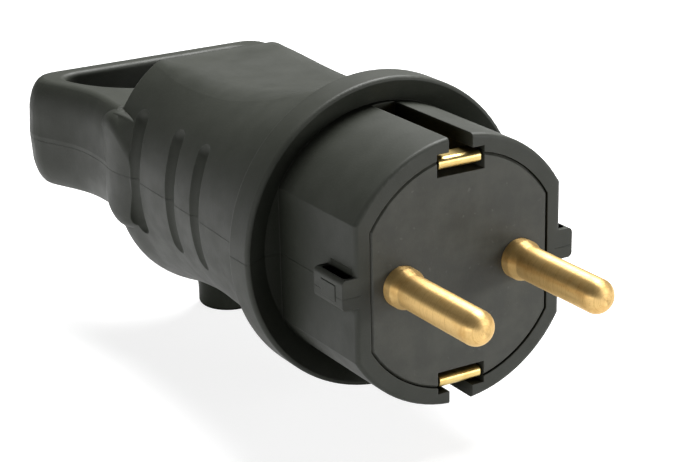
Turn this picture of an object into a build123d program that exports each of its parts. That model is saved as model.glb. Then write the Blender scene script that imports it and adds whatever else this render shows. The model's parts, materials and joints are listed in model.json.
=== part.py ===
"""Angled rewirable plug: rubber housing with a loop handle, contact insert, pins and earth strap."""
import os
from math import atan2, cos, hypot, radians, sin

from build123d import *

os.makedirs("parts", exist_ok=True)

# Frame: face centre at the origin, pins towards -Y, handle towards +Y, cable outlet towards -Z

# Pins
pin_pitch = 19.0
pin_dia = 4.8
pin_length = 19.0
pin_collar_dia = 5.7
pin_collar_len = 1.4
pin_taper_len = 1.3
pin_tip_flat_dia = 1.8
pin_tip_len = 1.8
pin_head_dia = 9.0
pin_head_len = 2.0
pillar_dia = 7.6
pillar_len = 10.0
wire_hole_dia = 3.4
wire_hole_depth = 8.5
pin_x = pin_pitch / 2

# Nose skirt of the housing
nose_r = 19.15
nose_flat_x = 16.55
nose_edge = 0.6
rim_t = 2.5
rim_flat_t = 2.2

# Insert seated in the nose
insert_fit = 0.1
insert_r = nose_r - rim_t - insert_fit
insert_flat_x = nose_flat_x - rim_flat_t - insert_fit
insert_edge = 0.35
insert_depth = 19.0
insert_wall = 2.0
insert_wall_half_x = 12.0
face_t = 5.0
seat_y = 15.0
bead_h = 0.8
bead_y0 = 10.5
bead_y1 = 13.5
tower_dia = 10.6
rib_half_x = 4.4

# Earth strap and its slots
strap_w = 6.7
strap_t = 0.85
strap_front_y = 0.15
strap_hem_len = 4.6
strap_leaf_end_y = 2.9
strap_gap = 0.7
leg_drop = 0.7
slot_open_w = 3.8
slot_skin = 2.05
pocket_w = 7.6
pocket_depth = 3.2
pocket_out_z = nose_r - slot_skin
pocket_in_z = pocket_out_z - pocket_depth
strap_top_z = pocket_out_z - strap_gap
strap_leg_z = pocket_in_z - leg_drop
strap_leg_in_z = strap_leg_z - strap_t

# Guide ears on the flats of the nose
ear_len = 7.2
ear_z0 = -1.7
ear_z1 = 2.6
ear_proud = 2.1
ear_edge = 0.7
ear_wall = 0.7
ear_pocket_y0 = 0.7
ear_pocket_depth = 1.7
ear_pocket_r = 0.6

# Flange
flange_r = 22.9
flange_y0 = 18.2
flange_y1 = 22.9
flange_edge = 0.6
dish_y = 20.0
flare_end_r = 18.2
flare_end_y = 33.0

# Barrel: station, half width, then half width, height and edge radius of the top pad,
# then depth and squareness of the belly
barrel_rows = [
    (21.0, 20.60, 2.0, 20.50, 8.0, 20.60, 2.00),
    (26.0, 20.40, 2.8, 20.05, 8.0, 20.40, 2.00),
    (29.5, 20.25, 3.8, 19.40, 9.0, 20.30, 2.00),
    (33.0, 20.10, 5.2, 18.35, 9.0, 20.15, 2.00),
    (37.0, 19.95, 6.6, 17.35, 9.0, 20.00, 2.00),
    (44.0, 19.60, 8.1, 16.50, 9.0, 19.70, 2.00),
    (51.0, 19.35, 9.1, 16.25, 8.0, 19.80, 2.05),
    (57.0, 19.25, 9.7, 16.30, 7.0, 20.40, 2.10),
    (63.0, 19.35, 10.1, 16.40, 5.5, 21.30, 2.15),
    (69.2, 19.60, 10.4, 16.45, 4.0, 22.00, 2.20),
]
barrel_end_y = barrel_rows[-1][0]
barrel_edge = 0.8
belly_steps = 8

# Grip grooves on both sides, bowed so that their ends lean back
groove_stations = [40.4, 49.2, 61.4]
groove_r = 2.0
groove_depth = 0.75
groove_bow_r = 18.1
groove_lean = 24.0
groove_mid_z = -0.6
groove_up = 32.0
groove_down = 22.0

# Cheeks that run the barrel into the handle: station, half width, lower and upper edge
cheek_rows = [
    (61.5, 18.90, -8.3, 4.5),
    (65.0, 19.85, -9.2, 7.6),
    (67.6, 20.10, -9.4, 9.3),
    (69.4, 20.00, -8.9, 9.4),
    (73.0, 19.00, -7.6, 8.8),
]
cheek_corner_r = 2.5

# Handle
handle_mid_z = 0.7
handle_half_t = 9.05
handle_roll = [(0.0, 0.0), (0.2, 0.4), (0.65, 0.7), (1.4, 0.88), (2.4, 1.0)]
handle_edge = 1.4
handle_tilt = 0.3
handle_front_y = 60.0
handle_rear_y = 97.5
handle_corner_r = 6.0
handle_side = [
    (20.0, 67.8), (19.7, 72.5), (19.6, 76.5), (20.3, 82.0), (22.0, 86.5), (23.6, 90.3), (25.9, handle_rear_y)]
hole_r = 18.2
hole_centre_y = 93.2
hole_rear_y = 92.2
hole_corner_r = 3.0
hole_edge = 0.9

# Cable outlet
outlet_y = 68.2
outlet_dia = 10.2
outlet_root_dia = 10.8
outlet_end_z = -26.6
outlet_root_z = -21.0
outlet_cone_len = 2.5
outlet_bore_dia = 7.4
outlet_edge = 0.8

# Wiring chamber in the housing
chamber_shoulder = 1.65
chamber_r = insert_r - chamber_shoulder
chamber_taper_y = 44.0
chamber_rear_r = 9.0
chamber_rear_y = 62.0
chamber_end_r = 5.0
chamber_end_margin = 0.6
chamber_end_y = outlet_y + outlet_bore_dia / 2 + chamber_end_margin

# Retainer plate behind the insert, with the tongue that carries the cord clamp
retainer_t = 2.5
retainer_fit = 0.25
retainer_r = insert_r - insert_wall - retainer_fit
pillar_fit = 0.1
screw_fit = 0.1
boss_r = 3.2
window_half = 4.2
tongue_half_x = 6.0
tongue_inset = 1.4
tongue_t = 2.2
tongue_z0 = tongue_inset - retainer_r
clamp_y0 = 35.0
clamp_y1 = 42.0
clamp_half_x = 9.3
cord_gap = 9.6
clamp_seat_z = -1.2
clamp_bar_t = 3.4
tongue_z1 = tongue_z0 + tongue_t

# Screws
small_screw_dia = 3.0
small_head_dia = 5.0
small_head_t = 2.0
clamp_screw_x = 7.05
clamp_screw_len = 9.0
retainer_head_gap = 0.4
retainer_screw_z = -tongue_z1 - small_head_dia / 2 - retainer_head_gap
retainer_screw_len = 9.5
terminal_screw_dia = 3.5
terminal_head_dia = 5.6
terminal_head_t = 2.2
terminal_screw_tip_z = 0.4
terminal_screw_y = 23.5
earth_screw_dia = 4.0
earth_head_dia = 6.4
earth_head_t = 2.4
earth_screw_len = 8.0
earth_washer_side = 7.4
earth_washer_t = 1.1
slot_w = 0.8
slot_depth = 0.9

# Stations along Y of the stack behind the face
strap_back_y = seat_y + strap_t
head_back_y = seat_y + pin_head_len
retainer_back_y = head_back_y + retainer_t
pillar_end_y = head_back_y + pillar_len
earth_head_y = strap_back_y + earth_washer_t


def block(x0, x1, y0, y1, z0, z1):
    return Pos((x0 + x1) / 2, (y0 + y1) / 2, (z0 + z1) / 2) * Box(x1 - x0, y1 - y0, z1 - z0)


def rod_y(r, y0, y1, x=0.0, z=0.0):
    return Pos(x, (y0 + y1) / 2, z) * Rot(90, 0, 0) * Cylinder(r, y1 - y0)


def rod_z(r, z0, z1, x=0.0, y=0.0):
    return Pos(x, y, (z0 + z1) / 2) * Cylinder(r, z1 - z0)


def turned(points):
    return revolve(make_face(Polyline(*points, close=True)), Axis.Y)


def flatted(r, flat_x, y0, y1):
    return rod_y(r, y0, y1) & block(-flat_x, flat_x, y0, y1, -r - 1, r + 1)


def edges_at_y(shape, y):
    return shape.edges().filter_by_position(Axis.Y, y - 0.01, y + 0.01)


def both_sides(shape):
    return shape + mirror(shape, Plane.YZ)


def both_ends(shape):
    return shape + mirror(shape, Plane.XY)


# Barrel section: flat pad on top, round flanks and a full belly
def barrel_section(row):
    y, half, pad_half, pad_z, pad_edge, low, square = row
    flank_r = ((half - pad_half) ** 2 + pad_z ** 2) / (2 * (half - pad_half))
    flank_x = half - flank_r
    turn = atan2(pad_z, pad_half - flank_x) / 2
    side_x = flank_x + flank_r * cos(turn)
    side_z = flank_r * sin(turn)
    belly = []
    for i in range(belly_steps + 1):
        a = radians(180.0 * i / belly_steps)
        x = half * abs(cos(a)) ** (2 / square)
        belly.append((-x if cos(a) > 0 else x, -low * sin(a) ** (2 / square)))
    outline = make_face([
        ThreePointArc((half, 0), (side_x, side_z), (pad_half, pad_z)),
        Line((pad_half, pad_z), (-pad_half, pad_z)),
        ThreePointArc((-pad_half, pad_z), (-side_x, side_z), (-half, 0)),
        Spline(*belly, tangents=((0, -1), (0, 1))),
    ])
    outline = fillet(outline.vertices().group_by(Axis.Y)[-1], pad_edge)
    return Plane.XZ.offset(-y) * outline


# Half width of the barrel at a station between its rows
def barrel_half(y):
    for row, after in zip(barrel_rows, barrel_rows[1:]):
        if row[0] <= y <= after[0]:
            return row[1] + (after[1] - row[1]) * (y - row[0]) / (after[0] - row[0])


# Housing: barrel
barrel = loft([barrel_section(row) for row in barrel_rows])
barrel = fillet(edges_at_y(barrel, barrel_end_y), barrel_edge)

# Housing: flange with a dished front and a hollow flare behind it
flare_top_r = flange_r - flange_edge
flare_y = flange_y1 + flange_edge
flare_rise = flare_top_r - flare_end_r
flare_run = flare_end_y - flare_y
flare_r = (flare_rise ** 2 + flare_run ** 2) / (2 * flare_rise)
front_y = flange_y0 + flange_edge
core_r = 10.0
soft = flange_edge * (1 - cos(radians(45)))
flange = revolve(make_face([
    Polyline((core_r, flare_end_y), (core_r, dish_y), (nose_r - 0.1, dish_y), (flare_top_r, flange_y0)),
    ThreePointArc((flare_top_r, flange_y0), (flange_r - soft, flange_y0 + soft), (flange_r, front_y)),
    Line((flange_r, front_y), (flange_r, flange_y1)),
    ThreePointArc((flange_r, flange_y1), (flange_r - soft, flare_y - soft), (flare_top_r, flare_y)),
    RadiusArc((flare_top_r, flare_y), (flare_end_r, flare_end_y), flare_r),
    Line((flare_end_r, flare_end_y), (core_r, flare_end_y)),
]), Axis.Y)

# Housing: nose skirt
nose_soft = nose_edge * (1 - cos(radians(45)))
nose_back_y = dish_y + 2
nose_round = revolve(make_face([
    Line((0, 0), (nose_r - nose_edge, 0)),
    ThreePointArc((nose_r - nose_edge, 0), (nose_r - nose_soft, nose_soft), (nose_r, nose_edge)),
    Polyline((nose_r, nose_edge), (nose_r, nose_back_y), (0, nose_back_y), (0, 0)),
]), Axis.Y)
nose_flats = block(-nose_flat_x, nose_flat_x, 0, nose_back_y, -nose_r - 1, nose_r + 1)
nose_flats = fillet(edges_at_y(nose_flats, 0).filter_by(Axis.Z), nose_edge)
nose = nose_round & nose_flats

# Housing: guide ears, hollowed from above between the ear and the nose
ear = block(nose_flat_x - 1, nose_flat_x + ear_proud, 0, ear_len, ear_z0, ear_z1)
ear = fillet(ear.faces().sort_by(Axis.X)[-1].edges().filter_by(Axis.Y), ear_edge)
ear_pocket = block(
    nose_flat_x - 0.2, nose_flat_x + ear_proud - ear_wall, ear_pocket_y0, ear_len - ear_wall,
    ear_z1 - ear_pocket_depth, ear_z1 + 1)
ear_pocket = fillet(ear_pocket.edges().filter_by(Axis.Z), ear_pocket_r)

# Housing: handle plate with rolled sides and the finger hole, tilted up a little towards its rear
side_ends = ((0, 1), (0.2, 1))
right_side = Spline(*handle_side, tangents=side_ends)
left_side = Spline(*[(-x, y) for x, y in handle_side], tangents=[(-x, y) for x, y in side_ends])
plan = make_face([
    Polyline(left_side @ 0, (0, handle_front_y), right_side @ 0),
    right_side,
    Line(right_side @ 1, left_side @ 1),
    left_side,
])
plan = fillet(plan.vertices().group_by(Axis.Y)[-1], handle_corner_r)
plan_rows = [offset(plan, -inset, kind=Kind.INTERSECTION) if inset else plan for inset, share in handle_roll]
plate = loft([
    Pos(0, 0, handle_half_t * share) * row.face() for row, (inset, share) in zip(plan_rows, handle_roll)])
rim = plate.edges().filter_by_position(Axis.Z, handle_half_t - 0.01, handle_half_t + 0.01)
plate = fillet(rim.filter_by(lambda e: e.center().Y > handle_side[0][1]), handle_edge)
hole_field = Pos(0, hole_rear_y - hole_r) * Rectangle(3 * hole_r, 2 * hole_r)
hole_plan = (Pos(0, hole_centre_y) * Circle(hole_r)) & hole_field
hole_plan = fillet(hole_plan.vertices(), hole_corner_r)
plate = plate - extrude(hole_plan, handle_half_t + 1)


def on_hole(e):
    c = e.center()
    return abs(c.Z - handle_half_t) < 0.01 and hypot(c.X, c.Y - hole_centre_y) < hole_r + 0.1


plate = fillet(plate.edges().filter_by(on_hole), hole_edge)
tilt_y = barrel_end_y
handle = Pos(0, tilt_y, handle_mid_z) * Rot(handle_tilt, 0, 0) * Pos(0, -tilt_y, 0) * both_ends(plate)

# Housing: cable outlet sleeve
outlet_r = outlet_dia / 2
root_r = outlet_root_dia / 2
sleeve = revolve(Plane.XZ * make_face(Polyline(
    (0, outlet_end_z), (outlet_r, outlet_end_z), (outlet_r, outlet_root_z - outlet_cone_len),
    (root_r, outlet_root_z), (root_r, 0), (0, 0), close=True)), Axis.Z)
sleeve = Pos(0, outlet_y, 0) * fillet(sleeve.edges().sort_by(Axis.Z)[0], outlet_edge)

# Housing: cheeks at the root of the handle
cheeks = loft([
    Plane.XZ.offset(-y) * Pos(0, (low + top) / 2) * RectangleRounded(2 * half, top - low, cheek_corner_r)
    for y, half, low, top in cheek_rows])

housing = barrel + flange + nose + both_sides(ear) + handle + cheeks + sleeve

# Housing: seat of the insert, wiring chamber and cable bore
housing = housing - flatted(insert_r + insert_fit, insert_flat_x + insert_fit, -1, insert_depth)
bead_top = insert_r + bead_h
bead_mid = (bead_y0 + bead_y1) / 2
bead_points = [(insert_r - 0.5, bead_y0), (insert_r, bead_y0), (bead_top, bead_mid), (insert_r, bead_y1),
               (insert_r - 0.5, bead_y1)]
bead_zone = block(-insert_wall_half_x, insert_wall_half_x, 0, insert_depth, -nose_r, nose_r)
bead = turned(bead_points) & bead_zone
housing = housing - bead
housing = housing - turned([
    (0, insert_depth - 0.01), (chamber_r, insert_depth - 0.01), (chamber_r, chamber_taper_y),
    (chamber_rear_r, chamber_rear_y), (chamber_end_r, chamber_end_y), (0, chamber_end_y)])
housing = housing - rod_z(outlet_bore_dia / 2, outlet_end_z - 1, -chamber_end_r + 1, 0, outlet_y)

# Housing: earth slots, ear pockets and grip grooves
slot = block(-slot_open_w / 2, slot_open_w / 2, -1, insert_depth, insert_r - 1, nose_r + 1)
slot = slot + block(-pocket_w / 2, pocket_w / 2, -1, insert_depth, insert_r - 1, pocket_out_z)
housing = housing - both_ends(slot)
housing = housing - both_sides(ear_pocket)
groove_reach = groove_bow_r + groove_r - groove_depth
groove = revolve(Pos(groove_reach, 0) * Circle(groove_r), Axis.Y, groove_up + groove_down)
groove = groove.rotate(Axis.Y, -groove_up)
for end in (radians(groove_up), radians(-groove_down)):
    groove = groove + Pos(groove_reach * cos(end), 0, groove_reach * sin(end)) * Sphere(groove_r)
lean = radians(groove_lean)
for groove_y in groove_stations:
    bow_x = barrel_half(groove_y) - groove_bow_r * cos(lean)
    bow_y = groove_y + groove_bow_r * sin(lean)
    housing = housing - both_sides(Pos(bow_x, bow_y, groove_mid_z) * Rot(0, 0, -groove_lean) * groove)
export_step(housing, "parts/rubber_housing.step")

# Insert: face plate, pin towers, centre rib and the wall with its snap bead
insert_round = turned([
    (0, 0), (insert_r - insert_edge, 0), (insert_r, insert_edge), (insert_r, insert_depth),
    (0, insert_depth)])
insert_flats = block(-insert_flat_x, insert_flat_x, 0, insert_depth, -insert_r - 1, insert_r + 1)
insert_flats = chamfer(edges_at_y(insert_flats, 0).filter_by(Axis.Z), insert_edge)
insert = insert_round & insert_flats
wall = insert - rod_y(insert_r - insert_wall, face_t, insert_depth + 1)
wall = wall & (bead_zone + block(-nose_r, nose_r, 0, face_t, -nose_r, nose_r))
towers = both_sides(rod_y(tower_dia / 2, face_t - 1, seat_y, pin_x)) & insert
rib = block(-rib_half_x, rib_half_x, face_t - 1, seat_y, -strap_leg_in_z, strap_leg_in_z)
carrier = wall + towers + rib + bead
carrier = carrier - both_sides(rod_y(pin_collar_dia / 2, -1, seat_y + 1, pin_x))
strap_pocket = block(-pocket_w / 2, pocket_w / 2, -1, face_t, pocket_in_z, nose_r)
strap_pocket = strap_pocket + block(
    -pocket_w / 2, pocket_w / 2, face_t, insert_depth + 1, strap_leg_in_z, nose_r)
carrier = carrier - both_ends(strap_pocket)
carrier = carrier - rod_y(earth_screw_dia / 2, earth_head_y - earth_screw_len, seat_y + 1)
screw_end_y = retainer_back_y - retainer_screw_len
carrier = carrier - both_ends(rod_y(small_screw_dia / 2, screw_end_y, seat_y + 1, 0, retainer_screw_z))
export_step(carrier, "parts/contact_carrier.step")

# Pins: turned brass with a rounded tip, a seat flange and a drilled terminal pillar
pin_r = pin_dia / 2
collar_r = pin_collar_dia / 2
tip_r = pin_tip_flat_dia / 2
tip_start_y = -pin_length + pin_tip_len
tip_mid = (tip_r + (pin_r - tip_r) * 0.72, -pin_length + pin_tip_len * 0.36)
taper_y = -pin_collar_len - pin_taper_len
pin = revolve(make_face([
    Line((0, -pin_length), (tip_r, -pin_length)),
    ThreePointArc((tip_r, -pin_length), tip_mid, (pin_r, tip_start_y)),
    Polyline((pin_r, tip_start_y), (pin_r, taper_y), (collar_r, -pin_collar_len), (collar_r, seat_y),
             (pin_head_dia / 2, seat_y), (pin_head_dia / 2, head_back_y), (pillar_dia / 2, head_back_y),
             (pillar_dia / 2, pillar_end_y), (0, pillar_end_y), (0, -pin_length)),
]), Axis.Y)
pin = pin - rod_y(wire_hole_dia / 2, pillar_end_y - wire_hole_depth, pillar_end_y + 1)
pin = pin - rod_z(terminal_screw_dia / 2, 0, pillar_dia, 0, terminal_screw_y)
export_step(Pos(-pin_x, 0, 0) * pin, "parts/pin_left.step")
export_step(Pos(pin_x, 0, 0) * pin, "parts/pin_right.step")


# Slotted cheese-head screw: head above the origin, shank below
def screw(dia, length, head_dia, head_t):
    body = Pos(0, 0, head_t / 2) * Cylinder(head_dia / 2, head_t)
    body = body + Pos(0, 0, -length / 2) * Cylinder(dia / 2, length)
    return body - Pos(0, 0, head_t) * Box(head_dia + 1, slot_w, 2 * slot_depth)


terminal_seat_z = pillar_dia / 2
terminal_screw_len = terminal_seat_z - terminal_screw_tip_z
terminal_screw = screw(terminal_screw_dia, terminal_screw_len, terminal_head_dia, terminal_head_t)
export_step(Pos(-pin_x, terminal_screw_y, terminal_seat_z) * terminal_screw, "parts/terminal_screw_left.step")
export_step(Pos(pin_x, terminal_screw_y, terminal_seat_z) * terminal_screw, "parts/terminal_screw_right.step")

# Earth strap: one strip, hemmed at both front ends and bridged behind the insert
hem_z = strap_top_z - 2 * strap_t
leaf_z = strap_top_z - strap_t
hem_y = strap_front_y + strap_hem_len
step_y = hem_y + 2.5
strap_half = make_face(Plane.YZ * Polyline(
    (strap_front_y, hem_z), (strap_front_y, strap_top_z), (strap_leaf_end_y, strap_top_z),
    (strap_leaf_end_y, leaf_z), (hem_y + 0.6, leaf_z), (step_y + 0.4, strap_leg_z),
    (strap_back_y, strap_leg_z), (strap_back_y, 0), (seat_y, 0), (seat_y, strap_leg_in_z),
    (step_y, strap_leg_in_z), (hem_y, hem_z),
    close=True))
strap_half = Pos(-strap_w / 2, 0, 0) * extrude(strap_half, strap_w, dir=(1, 0, 0))
strap_half = fillet(edges_at_y(strap_half, strap_front_y).filter_by(Axis.X), strap_t * 0.9)
strap = both_ends(strap_half)
strap = strap - rod_y(earth_screw_dia / 2, seat_y - 1, strap_back_y + 1)
screw_clear_r = small_screw_dia / 2 + screw_fit
strap = strap - both_ends(rod_y(screw_clear_r, seat_y - 1, strap_back_y + 1, 0, retainer_screw_z))
export_step(strap, "parts/earth_strap.step")

# Earth terminal: clamping washer and screw
washer_half = earth_washer_side / 2
washer = block(-washer_half, washer_half, strap_back_y, earth_head_y, -washer_half, washer_half)
washer = washer - rod_y(earth_screw_dia / 2, strap_back_y - 1, earth_head_y + 1)
export_step(washer, "parts/earth_washer.step")
earth_screw = screw(earth_screw_dia, earth_screw_len, earth_head_dia, earth_head_t)
export_step(Pos(0, earth_head_y, 0) * Rot(-90, 0, 0) * earth_screw, "parts/earth_screw.step")

# Retainer: bridge plate over the pin flanges, with the tongue and posts of the cord clamp
retainer = flatted(retainer_r, pin_x, head_back_y, retainer_back_y)
pillar_clear_r = pillar_dia / 2 + pillar_fit
retainer = retainer - both_sides(rod_y(pillar_clear_r, head_back_y - 1, retainer_back_y + 1, pin_x))
retainer = retainer + both_ends(rod_y(boss_r, strap_back_y, head_back_y, 0, retainer_screw_z))
window = block(-window_half, window_half, strap_back_y - 1, retainer_back_y + 1, -window_half, window_half)
retainer = retainer - window
boss_hole = rod_y(screw_clear_r, strap_back_y - 1, retainer_back_y + 1, 0, retainer_screw_z)
retainer = retainer - both_ends(boss_hole)
retainer = retainer + block(-tongue_half_x, tongue_half_x, head_back_y, clamp_y1, tongue_z0, tongue_z1)
post = block(cord_gap / 2, clamp_half_x, clamp_y0, clamp_y1, tongue_z1 - 0.2, clamp_seat_z)
retainer = retainer + both_sides(post)
clamp_mid_y = (clamp_y0 + clamp_y1) / 2
bar_top_z = clamp_seat_z + clamp_bar_t
clamp_tip_z = bar_top_z - clamp_screw_len
clamp_hole = rod_z(small_screw_dia / 2, clamp_tip_z, clamp_seat_z + 1, clamp_screw_x, clamp_mid_y)
retainer = retainer - both_sides(clamp_hole)
export_step(retainer, "parts/pin_retainer.step")

for name, z in (("upper", retainer_screw_z), ("lower", -retainer_screw_z)):
    fixing = screw(small_screw_dia, retainer_screw_len, small_head_dia, small_head_t)
    export_step(Pos(0, retainer_back_y, z) * Rot(-90, 0, 0) * fixing, f"parts/retainer_screw_{name}.step")

# Cord clamp: saddle bar and its two screws
bar = block(-clamp_half_x, clamp_half_x, clamp_y0, clamp_y1, clamp_seat_z, bar_top_z)
bar = bar - rod_y(cord_gap / 2, clamp_y0 - 1, clamp_y1 + 1, 0, clamp_seat_z - cord_gap / 2 + 1.0)
bar = bar - both_sides(rod_z(screw_clear_r, clamp_seat_z - 1, bar_top_z + 1, clamp_screw_x, clamp_mid_y))
export_step(bar, "parts/cord_clamp_bar.step")

for name, x in (("left", -clamp_screw_x), ("right", clamp_screw_x)):
    fixing = screw(small_screw_dia, clamp_screw_len, small_head_dia, small_head_t)
    export_step(Pos(x, clamp_mid_y, bar_top_z) * fixing, f"parts/cord_clamp_screw_{name}.step")
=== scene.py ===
"""Looks of the angled plug: rubber, insert plastic, brass, steel, fine mould marks and a studio."""
import json
from math import cos, radians, sin

import bmesh
import bpy
from mathutils import Matrix, Vector
from mathutils.bvhtree import BVHTree


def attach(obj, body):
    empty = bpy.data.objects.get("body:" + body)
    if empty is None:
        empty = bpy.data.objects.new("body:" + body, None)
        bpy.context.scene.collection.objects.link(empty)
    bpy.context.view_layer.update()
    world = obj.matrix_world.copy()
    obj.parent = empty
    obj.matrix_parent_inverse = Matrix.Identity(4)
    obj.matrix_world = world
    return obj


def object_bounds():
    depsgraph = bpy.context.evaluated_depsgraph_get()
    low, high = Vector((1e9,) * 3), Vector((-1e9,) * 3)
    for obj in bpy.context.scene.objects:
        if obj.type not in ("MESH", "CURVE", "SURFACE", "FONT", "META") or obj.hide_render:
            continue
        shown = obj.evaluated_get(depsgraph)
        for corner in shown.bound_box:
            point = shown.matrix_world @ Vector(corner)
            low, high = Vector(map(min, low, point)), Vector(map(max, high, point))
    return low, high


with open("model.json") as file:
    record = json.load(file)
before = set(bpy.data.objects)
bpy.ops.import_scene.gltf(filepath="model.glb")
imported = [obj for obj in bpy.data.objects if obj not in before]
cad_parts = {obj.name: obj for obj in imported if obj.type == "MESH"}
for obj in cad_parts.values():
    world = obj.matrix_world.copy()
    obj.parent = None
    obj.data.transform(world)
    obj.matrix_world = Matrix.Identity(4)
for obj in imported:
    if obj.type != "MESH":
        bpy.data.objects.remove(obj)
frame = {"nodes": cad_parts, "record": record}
cad_low, cad_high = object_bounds()
nodes = frame["nodes"]
mounts = {m["name"]: m for m in frame["record"]["mounts"]}
MM = 0.001

# Camera: angles in degrees, lengths in millimetres, focal length in pixels
image_width = 680
view_azimuth = -30.692
view_elevation = 19.668
view_roll = -1.316
view_distance = 258.881
view_shift_right = -16.246
view_shift_up = 5.471
focal_px = 1928.356
sensor_mm = 36.0
clip_start = 10.0

# Mould marks on the rubber, in millimetres
parting_z = 0.0
flash_r = 0.03
flash_steps = 1
cavity_half_x = 15.2
cavity_end_y = 73.5
ear_pad_y = (1.7, 5.4)
ear_pad_z = (-0.75, 1.55)
ear_pad_proud = 0.08
ear_pad_edge = 0.06
ear_pad_steps = 3

# Webs that make the flanks run straight from the last groove to the cheeks, in millimetres
web_front_y = 63.1
web_bow = 7.4
web_bow_r = 18.1
web_rear_y = 68.6
web_low_z = -4.0
web_full_z = 1.0
web_high_z = 9.0
web_fall = 0.8
web_rows = 40
web_columns = 28
web_sunk = 0.03
web_ledge = ((0.12, 0.06), (0.22, 0.2), (0.3, 0.5), (0.34, 2.5))  # rise over high_z, drop inwards
web_ray_x = 40.0

# Edges and hollows in the materials: samples, and the cosines between the flat and the rounded
# normal where the lighter edges start and are full
edge_samples = 6
hollow_samples = 8
flat_dot = 0.995
sharp_dot = 0.86

# Tolerances for meshes, in millimetres
merge_gap = 0.002
cut_gap = 0.0001
close_gap = 0.001

# Studio: strengths of the lights, and lengths in metres
ambient = 0.14
floor_lift = 0.84
floor_grey = 0.45
floor_half = 4.0
floor_gap_mm = 0.05
lamp_target = (0, 0.04, 0)
lamps = {
    "top_light": {"place": (0.27, 0.15, 0.55), "size": (0.4, 0.4), "watts": 11.2},
    "left_light": {"place": (-0.5, 0.08, 0.03), "size": (0.4, 0.1), "watts": 0.45},
    "pin_light": {"place": (-0.48, -0.25, 0.02), "size": (0.3, 0.06), "watts": 0.6},
    "front_light": {"place": (0.38, -0.5, 0.1), "size": (0.4, 0.15), "watts": 2.1},
}


class Shader:
    """A node material: the Principled shader and a few short ways to feed it."""

    def __init__(self, name, metallic=0.0, specular=0.5):
        self.material = bpy.data.materials.new(name)
        self.material.use_nodes = True
        self.tree = self.material.node_tree
        self.bsdf = self.tree.nodes["Principled BSDF"]
        self.bsdf.inputs["Metallic"].default_value = metallic
        self.bsdf.inputs["Specular IOR Level"].default_value = specular
        self.place = self.node("ShaderNodeTexCoord").outputs["Object"]

    def node(self, kind, **settings):
        made = self.tree.nodes.new(kind)
        for key, value in settings.items():
            setattr(made, key, value)
        return made

    def feed(self, socket, value):
        if isinstance(value, bpy.types.NodeSocket):
            self.tree.links.new(value, socket)
        else:
            socket.default_value = value

    def math(self, operation, a, b=0.0):
        made = self.node("ShaderNodeMath", operation=operation)
        self.feed(made.inputs[0], a)
        self.feed(made.inputs[1], b)
        return made.outputs[0]

    def noise(self, size_mm, detail, stretch=(1, 1, 1), roughness=0.5):
        spread = self.node("ShaderNodeMapping")
        spread.inputs["Scale"].default_value = stretch
        self.feed(spread.inputs["Vector"], self.place)
        made = self.node("ShaderNodeTexNoise")
        made.inputs["Scale"].default_value = 1 / (size_mm * MM)
        made.inputs["Detail"].default_value = detail
        made.inputs["Roughness"].default_value = roughness
        self.feed(made.inputs["Vector"], spread.outputs["Vector"])
        return made.outputs["Fac"]

    def ramp(self, fac, low, high, from_value=0.0, to_value=1.0):
        made = self.node("ShaderNodeMapRange", interpolation_type="SMOOTHSTEP")
        self.feed(made.inputs["Value"], fac)
        made.inputs["From Min"].default_value = low
        made.inputs["From Max"].default_value = high
        made.inputs["To Min"].default_value = from_value
        made.inputs["To Max"].default_value = to_value
        return made.outputs["Result"]

    # The mix node has sockets for each type of data: 6, 7 and 2 are those for colours
    def mix(self, fac, a, b):
        made = self.node("ShaderNodeMix", data_type="RGBA")
        self.feed(made.inputs["Factor"], fac)
        for socket, colour in ((made.inputs[6], a), (made.inputs[7], b)):
            self.feed(socket, colour if isinstance(colour, bpy.types.NodeSocket) else (*colour, 1))
        return made.outputs[2]

    # Normals as if the edges were rounded
    def soft_edges(self, radius_mm):
        made = self.node("ShaderNodeBevel", samples=edge_samples)
        made.inputs["Radius"].default_value = radius_mm * MM
        return made.outputs["Normal"]

    def bump(self, height, normal, depth_mm, strength):
        made = self.node("ShaderNodeBump")
        made.inputs["Distance"].default_value = depth_mm * MM
        made.inputs["Strength"].default_value = strength
        self.feed(made.inputs["Height"], height)
        self.feed(made.inputs["Normal"], normal)
        return made.outputs["Normal"]

    # Up to the given share on sharp edges, where the rounded normal leaves the flat one
    def edge_mask(self, soft, share):
        flat = self.node("ShaderNodeNewGeometry").outputs["Normal"]
        dot = self.node("ShaderNodeVectorMath", operation="DOT_PRODUCT")
        self.feed(dot.inputs[0], flat)
        self.feed(dot.inputs[1], soft)
        return self.math("MULTIPLY", self.ramp(dot.outputs["Value"], flat_dot, sharp_dot), share)

    # One in the open, towards zero in hollows
    def openness(self, reach_mm):
        made = self.node("ShaderNodeAmbientOcclusion", samples=hollow_samples)
        made.inputs["Distance"].default_value = reach_mm * MM
        return made.outputs["AO"]

    def finish(self, colour, roughness, normal):
        self.feed(self.bsdf.inputs["Base Color"], colour)
        self.feed(self.bsdf.inputs["Roughness"], roughness)
        self.feed(self.bsdf.inputs["Normal"], normal)
        return self.material
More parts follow.
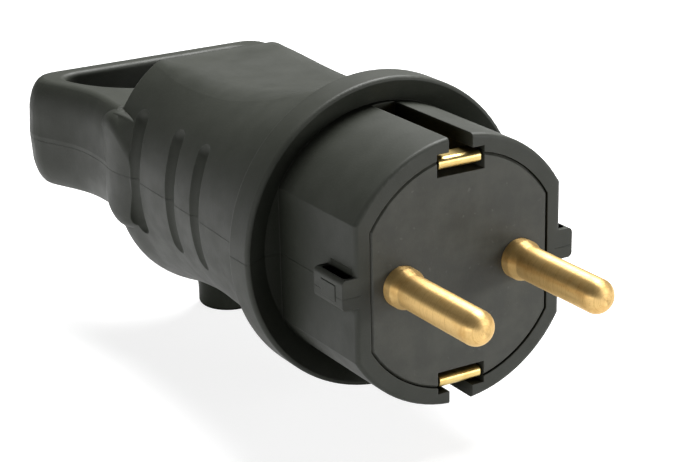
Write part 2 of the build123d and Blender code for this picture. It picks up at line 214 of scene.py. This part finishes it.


# Moulded rubber: dull black with faint greying, a fine grain, lighter sharp edges, and painted shade
# that makes hollows darker and duller
def rubber():
    plain, greyed, grained = (0.03, 0.0325, 0.0262), (0.036, 0.0385, 0.0315), (0.05, 0.053, 0.0445)
    lighter_edge, painted_hollow_shade = (0.085, 0.086, 0.078), (0.004, 0.004, 0.003)
    s = Shader("rubber")
    cloud = s.noise(size_mm=9.0, detail=4.0, roughness=0.6)
    grain = s.noise(size_mm=0.35, detail=3.0, roughness=0.65)
    soft = s.soft_edges(radius_mm=0.22)
    colour = s.mix(s.ramp(cloud, 0.32, 0.7), plain, greyed)
    colour = s.mix(s.ramp(grain, 0.55, 0.8, to_value=0.5), colour, grained)
    # Lighter colour on sharp edges
    colour = s.mix(s.edge_mask(soft, share=0.45), colour, lighter_edge)
    # Painted shade: the colour falls to near black in hollows and the specular level drops there too,
    # darkening them further
    shade_openness = s.openness(reach_mm=9.0)
    colour = s.mix(s.ramp(shade_openness, 0.05, 0.42), painted_hollow_shade, colour)
    s.feed(s.bsdf.inputs["Specular IOR Level"], s.ramp(shade_openness, 0.45, 0.95, to_value=0.25))
    patches = s.noise(size_mm=3.0, detail=3.0)
    roughness = s.ramp(patches, 0.3, 0.7, from_value=0.5, to_value=0.57)
    return s.finish(colour, roughness, s.bump(grain, soft, depth_mm=0.03, strength=0.6))


# Insert plastic: harder and a little greyer than the rubber, with pale specks of filler
def insert_plastic():
    plain, greyed = (0.033, 0.0345, 0.0275), (0.055, 0.0565, 0.047)
    filler, lighter_edge = (0.11, 0.11, 0.1), (0.09, 0.09, 0.085)
    s = Shader("insert_plastic", specular=0.3)
    cloud = s.noise(size_mm=5.0, detail=5.0, roughness=0.62)
    speck = s.noise(size_mm=0.9, detail=2.0, roughness=0.4)
    grain = s.noise(size_mm=0.28, detail=2.0)
    soft = s.soft_edges(radius_mm=0.15)
    colour = s.mix(s.ramp(cloud, 0.35, 0.68), plain, greyed)
    colour = s.mix(s.ramp(speck, 0.66, 0.78, to_value=0.45), colour, filler)
    # Lighter colour on sharp edges
    colour = s.mix(s.edge_mask(soft, share=0.4), colour, lighter_edge)
    roughness = s.ramp(cloud, 0.3, 0.7, from_value=0.42, to_value=0.55)
    return s.finish(colour, roughness, s.bump(grain, soft, depth_mm=0.02, strength=0.6))


# Turned brass, a little dulled: rings that follow the lathe along the shank and across the tip
def turned_brass(name, axis_x):
    bright, tarnished = (0.62, 0.42, 0.165), (0.52, 0.32, 0.105)
    grooved, speckled = (0.45, 0.27, 0.08), (0.38, 0.22, 0.065)
    ring_mm, ring_detail = 0.3, 4.0
    quarter_turn = 0.25
    s = Shader(name, metallic=0.78)
    around = s.node("ShaderNodeTangent", direction_type="RADIAL", axis="Y")
    s.feed(s.bsdf.inputs["Tangent"], around.outputs["Tangent"])
    s.bsdf.inputs["Anisotropic"].default_value = 0.8
    s.bsdf.inputs["Anisotropic Rotation"].default_value = quarter_turn
    split = s.node("ShaderNodeSeparateXYZ")
    s.feed(split.inputs[0], s.place)
    x = s.math("SUBTRACT", split.outputs["X"], axis_x)
    squares = s.math("ADD", s.math("MULTIPLY", x, x), s.math("POWER", split.outputs["Z"], 2.0))
    radius = s.math("SQRT", squares)
    rings = s.node("ShaderNodeTexNoise", noise_dimensions="1D")
    rings.inputs["Scale"].default_value = 1 / (ring_mm * MM)
    rings.inputs["Detail"].default_value = ring_detail
    s.feed(rings.inputs["W"], s.math("ADD", radius, split.outputs["Y"]))
    cut = rings.outputs["Fac"]
    tarnish = s.ramp(s.noise(size_mm=2.6, detail=5.0, roughness=0.65), 0.45, 0.75)
    speck = s.noise(size_mm=0.45, detail=3.0, stretch=(1, 2, 1), roughness=0.7)
    colour = s.mix(tarnish, bright, tarnished)
    colour = s.mix(s.ramp(cut, 0.5, 0.75, to_value=0.45), colour, grooved)
    colour = s.mix(s.ramp(speck, 0.52, 0.72, to_value=0.5), colour, speckled)
    dull = s.ramp(tarnish, 0.0, 1.0, from_value=0.44, to_value=0.52)
    roughness = s.math("ADD", dull, s.ramp(cut, 0.4, 0.7, to_value=0.05))
    soft = s.soft_edges(radius_mm=0.12)
    return s.finish(colour, roughness, s.bump(cut, soft, depth_mm=0.003, strength=0.3))


# Rolled brass strip: fine lines along its length
def rolled_brass():
    bright, tarnished = (0.54, 0.41, 0.16), (0.48, 0.33, 0.11)
    s = Shader("strap_brass", metallic=1.0)
    lines = s.noise(size_mm=2.4, detail=2.0, stretch=(3, 1, 1), roughness=0.4)
    tarnish = s.ramp(s.noise(size_mm=2.2, detail=4.0), 0.42, 0.75)
    colour = s.mix(tarnish, bright, tarnished)
    roughness = s.ramp(lines, 0.3, 0.7, from_value=0.3, to_value=0.36)
    soft = s.soft_edges(radius_mm=0.15)
    return s.finish(colour, roughness, s.bump(lines, soft, depth_mm=0.0005, strength=0.2))


# Plated steel: dull grey with cloudy zinc bloom
def plated_steel():
    plain, bloomed = (0.6, 0.6, 0.58), (0.44, 0.44, 0.43)
    s = Shader("screw_steel", metallic=1.0)
    bloom = s.noise(size_mm=1.4, detail=4.0, roughness=0.6)
    colour = s.mix(s.ramp(bloom, 0.35, 0.7), plain, bloomed)
    roughness = s.ramp(bloom, 0.3, 0.7, from_value=0.28, to_value=0.45)
    soft = s.soft_edges(radius_mm=0.12)
    return s.finish(colour, roughness, s.bump(bloom, soft, depth_mm=0.006, strength=0.5))


def paint(obj, material):
    obj.data.materials.clear()
    obj.data.materials.append(material)


finishes = {"rubber": rubber(), "insert_plastic": insert_plastic(), "strap_brass": rolled_brass(),
            "screw_steel": plated_steel()}
for part in frame["record"]["subparts"]:
    slot = part["material_slot"]
    if slot in finishes:
        paint(nodes[part["node"]], finishes[slot])
for name in ("pin_left", "pin_right"):
    paint(nodes[name], turned_brass(name + "_brass", mounts[name]["pos_m"][0]))


def add_piece(name, mesh, slot):
    obj = bpy.data.objects.new(name, mesh)
    bpy.context.scene.collection.objects.link(obj)
    paint(obj, finishes[slot])
    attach(obj, "root")


# The cut of a node's mesh with a level plane, as runs of points
def level_cut(node, z, keep):
    bm = bmesh.new()
    bm.from_mesh(nodes[node].data)
    bmesh.ops.remove_doubles(bm, verts=bm.verts, dist=merge_gap * MM)
    geometry = bm.verts[:] + bm.edges[:] + bm.faces[:]
    cut = bmesh.ops.bisect_plane(
        bm, geom=geometry, dist=cut_gap * MM, plane_co=(0, 0, z), plane_no=(0, 0, 1))
    made = [e for e in cut["geom_cut"] if isinstance(e, bmesh.types.BMEdge)]
    edges = dict.fromkeys(e for e in made if keep((e.verts[0].co + e.verts[1].co) / 2))
    runs = []
    while edges:
        first = edges.popitem()[0]
        run = [first.verts[0], first.verts[1]]
        for end in (-1, 0):
            while True:
                onward = next((e for e in run[end].link_edges if e in edges), None)
                if onward is None:
                    break
                del edges[onward]
                run.insert(len(run) if end else 0, onward.other_vert(run[end]))
        runs.append([v.co.copy() for v in run])
    bm.free()
    return runs


# A fine bead along runs of points, kept inside the CAD box
def bead(name, runs, radius, slot):
    curve = bpy.data.curves.new(name, "CURVE")
    curve.dimensions = "3D"
    curve.bevel_depth = radius
    curve.bevel_resolution = flash_steps
    for run in runs:
        closed = len(run) > 3 and (run[0] - run[-1]).length < close_gap * MM
        points = run[:-1] if closed else run
        spline = curve.splines.new("POLY")
        spline.points.add(len(points) - 1)
        for point, co in zip(spline.points, points):
            point.co = (*co, 1)
        spline.use_cyclic_u = closed
    holder = bpy.data.objects.new(name + "_line", curve)
    mesh = bpy.data.meshes.new_from_object(holder)
    bpy.data.objects.remove(holder)
    for v in mesh.vertices:
        v.co = [min(max(c, low), high) for c, low, high in zip(v.co, cad_low, cad_high)]
    for face in mesh.polygons:
        face.use_smooth = True
    add_piece(name, mesh, slot)


# Flash line where the two halves of the mould met
def outside(p):
    return abs(p.x) > cavity_half_x * MM or p.y > cavity_end_y * MM


bead("parting_flash", level_cut("rubber_housing", parting_z * MM, outside), flash_r * MM, "rubber")


# Low pads on the outer faces of the guide ears
def ear_pad(name, side):
    body = nodes["rubber_housing"].data
    ear_x = max(abs(v.co.x) for v in body.vertices if v.co.y < ear_pad_y[1] * MM)
    (y0, y1), (z0, z1) = ear_pad_y, ear_pad_z
    centre = (side * ear_x, (y0 + y1) / 2 * MM, (z0 + z1) / 2 * MM)
    size = (2 * ear_pad_proud * MM, (y1 - y0) * MM, (z1 - z0) * MM)
    place = Matrix.Translation(centre) @ Matrix.Diagonal((*size, 1))
    bm = bmesh.new()
    bmesh.ops.create_cube(bm, size=1, matrix=place)
    bmesh.ops.bevel(
        bm, geom=bm.edges[:], offset=ear_pad_edge * MM, segments=ear_pad_steps, affect="EDGES")
    mesh = bpy.data.meshes.new(name)
    bm.to_mesh(mesh)
    bm.free()
    add_piece(name, mesh, "rubber")


ear_pad("ear_pad_left", -1)
ear_pad("ear_pad_right", 1)


# Upper hull of heights along a row, so that hollows between two crests are bridged
def bridged(places, heights):
    hull = []
    for point in zip(places, heights):
        while len(hull) > 1:
            (ax, ah), (bx, bh) = hull[-2:]
            if (bh - ah) * (point[0] - ax) > (point[1] - ah) * (bx - ax):
                break
            hull.pop()
        hull.append(point)
    made = []
    k = 0
    for place in places:
        while k < len(hull) - 2 and place > hull[k + 1][0]:
            k += 1
        (ax, ah), (bx, bh) = hull[k], hull[k + 1]
        made.append(ah + (bh - ah) * (place - ax) / (bx - ax))
    return made


# Web over the hollow between the barrel's flank and the cheek, its top rolled down to a ledge
def cheek_web(name, side):
    body = nodes["rubber_housing"].data
    tree = BVHTree.FromPolygons([v.co for v in body.vertices], [p.vertices[:] for p in body.polygons])
    rows = [(web_low_z + (web_high_z - web_low_z) * j / web_rows, 0.0) for j in range(web_rows + 1)]
    rows += [(web_high_z + rise, drop) for rise, drop in web_ledge]
    points = []
    for z, drop in rows:
        level = min(z, web_high_z)
        share = (level - web_low_z) / (web_high_z - web_low_z)
        front = web_front_y + web_bow * (1 - (1 - ((z - web_fall * share) / web_bow_r) ** 2) ** 0.5)
        places = [front + (web_rear_y - front) * i / web_columns for i in range(web_columns + 1)]
        falls = [web_fall * share * (1 - i / web_columns) ** 2 for i in range(web_columns + 1)]
        heights = []
        for y, fall in zip(places, falls):
            start = Vector((side * web_ray_x, y, level - fall)) * MM
            hit = tree.ray_cast(start, Vector((-side, 0, 0)))[0]
            heights.append(abs(hit.x) / MM)
        full = min(max((z - web_low_z) / (web_full_z - web_low_z), 0), 1)
        for y, fall, cad, over in zip(places, falls, heights, bridged(places, heights)):
            x = cad + (over - cad) * full - web_sunk - drop
            points.append(Vector((side * x, y, z - fall)) * MM)
    wide = web_columns + 1
    faces = []
    for j in range(len(rows) - 1):
        for i in range(web_columns):
            a = j * wide + i
            faces.append((a, a + 1, a + 1 + wide, a + wide)[::side])
    mesh = bpy.data.meshes.new(name)
    mesh.from_pydata(points, [], faces)
    for face in mesh.polygons:
        face.use_smooth = True
    add_piece(name, mesh, "rubber")


cheek_web("cheek_web_left", -1)
cheek_web("cheek_web_right", 1)


# One for rays that see the background: from the camera, off metal or through glass
def seen_rays(tree, path):
    total = path.outputs["Is Camera Ray"]
    for kind in ("Is Glossy Ray", "Is Transmission Ray"):
        either = tree.nodes.new("ShaderNodeMath")
        either.operation = "MAXIMUM"
        tree.links.new(total, either.inputs[0])
        tree.links.new(path.outputs[kind], either.inputs[1])
        total = either.outputs[0]
    return total


# Pale floor under the plug, which keeps its shadow
def floor():
    mesh = bpy.data.meshes.new("floor")
    z = cad_low.z - floor_gap_mm * MM
    signs = ((-1, -1), (1, -1), (1, 1), (-1, 1))
    mesh.from_pydata([(x * floor_half, y * floor_half, z) for x, y in signs], [], [(0, 1, 2, 3)])
    obj = bpy.data.objects.new("floor", mesh)
    bpy.context.scene.collection.objects.link(obj)
    material = bpy.data.materials.new("floor")
    material.use_nodes = True
    tree = material.node_tree
    tree.nodes.clear()
    out = tree.nodes.new("ShaderNodeOutputMaterial")
    matte = tree.nodes.new("ShaderNodeBsdfDiffuse")
    matte.inputs["Color"].default_value = (floor_grey, floor_grey, floor_grey, 1)
    lift = tree.nodes.new("ShaderNodeEmission")
    seen = tree.nodes.new("ShaderNodeLightPath")
    strength = tree.nodes.new("ShaderNodeMath")
    strength.operation = "MULTIPLY"
    strength.inputs[1].default_value = floor_lift
    both = tree.nodes.new("ShaderNodeAddShader")
    tree.links.new(seen_rays(tree, seen), strength.inputs[0])
    tree.links.new(strength.outputs[0], lift.inputs["Strength"])
    tree.links.new(matte.outputs[0], both.inputs[0])
    tree.links.new(lift.outputs[0], both.inputs[1])
    tree.links.new(both.outputs[0], out.inputs["Surface"])
    mesh.materials.append(material)


# Surround that is white where it is seen and dim as a light
def surround():
    world = bpy.data.worlds.new("surround")
    bpy.context.scene.world = world
    world.use_nodes = True
    tree = world.node_tree
    light = tree.nodes["Background"]
    path = tree.nodes.new("ShaderNodeLightPath")
    strength = tree.nodes.new("ShaderNodeMapRange")
    strength.inputs["To Min"].default_value = ambient
    strength.inputs["To Max"].default_value = 1.0
    tree.links.new(seen_rays(tree, path), strength.inputs["Value"])
    tree.links.new(strength.outputs["Result"], light.inputs["Strength"])


# Soft lamp aimed at the middle of the plug
def softbox(name, place, size, watts):
    lamp = bpy.data.lights.new(name, "AREA")
    lamp.shape = "RECTANGLE"
    lamp.size, lamp.size_y = size
    lamp.energy = watts
    obj = bpy.data.objects.new(name, lamp)
    obj.location = place
    aim = Vector(lamp_target) - Vector(place)
    obj.rotation_euler = aim.to_track_quat("-Z", "Y").to_euler()
    bpy.context.scene.collection.objects.link(obj)


floor()
surround()
for name, lamp in lamps.items():
    softbox(name, **lamp)


# Camera fitted to the photograph
def photo_camera():
    a, e, r = radians(view_azimuth), radians(view_elevation), radians(view_roll)
    back = Vector((sin(a) * cos(e), -cos(a) * cos(e), sin(e)))
    level_right = Vector((cos(a), sin(a), 0))
    level_up = back.cross(level_right)
    right = level_right * cos(r) + level_up * sin(r)
    up = level_up * cos(r) - level_right * sin(r)
    place = (back * view_distance + right * view_shift_right + up * view_shift_up) * MM
    data = bpy.data.cameras.new("photo_camera")
    data.sensor_width = sensor_mm
    data.lens = sensor_mm * focal_px / image_width
    data.clip_start = clip_start * MM
    obj = bpy.data.objects.new("photo_camera", data)
    obj.matrix_world = Matrix.Translation(place) @ Matrix((right, up, back)).transposed().to_4x4()
    bpy.context.scene.collection.objects.link(obj)
    bpy.context.scene.camera = obj


photo_camera()
bpy.context.scene.view_settings.view_transform = "Standard"
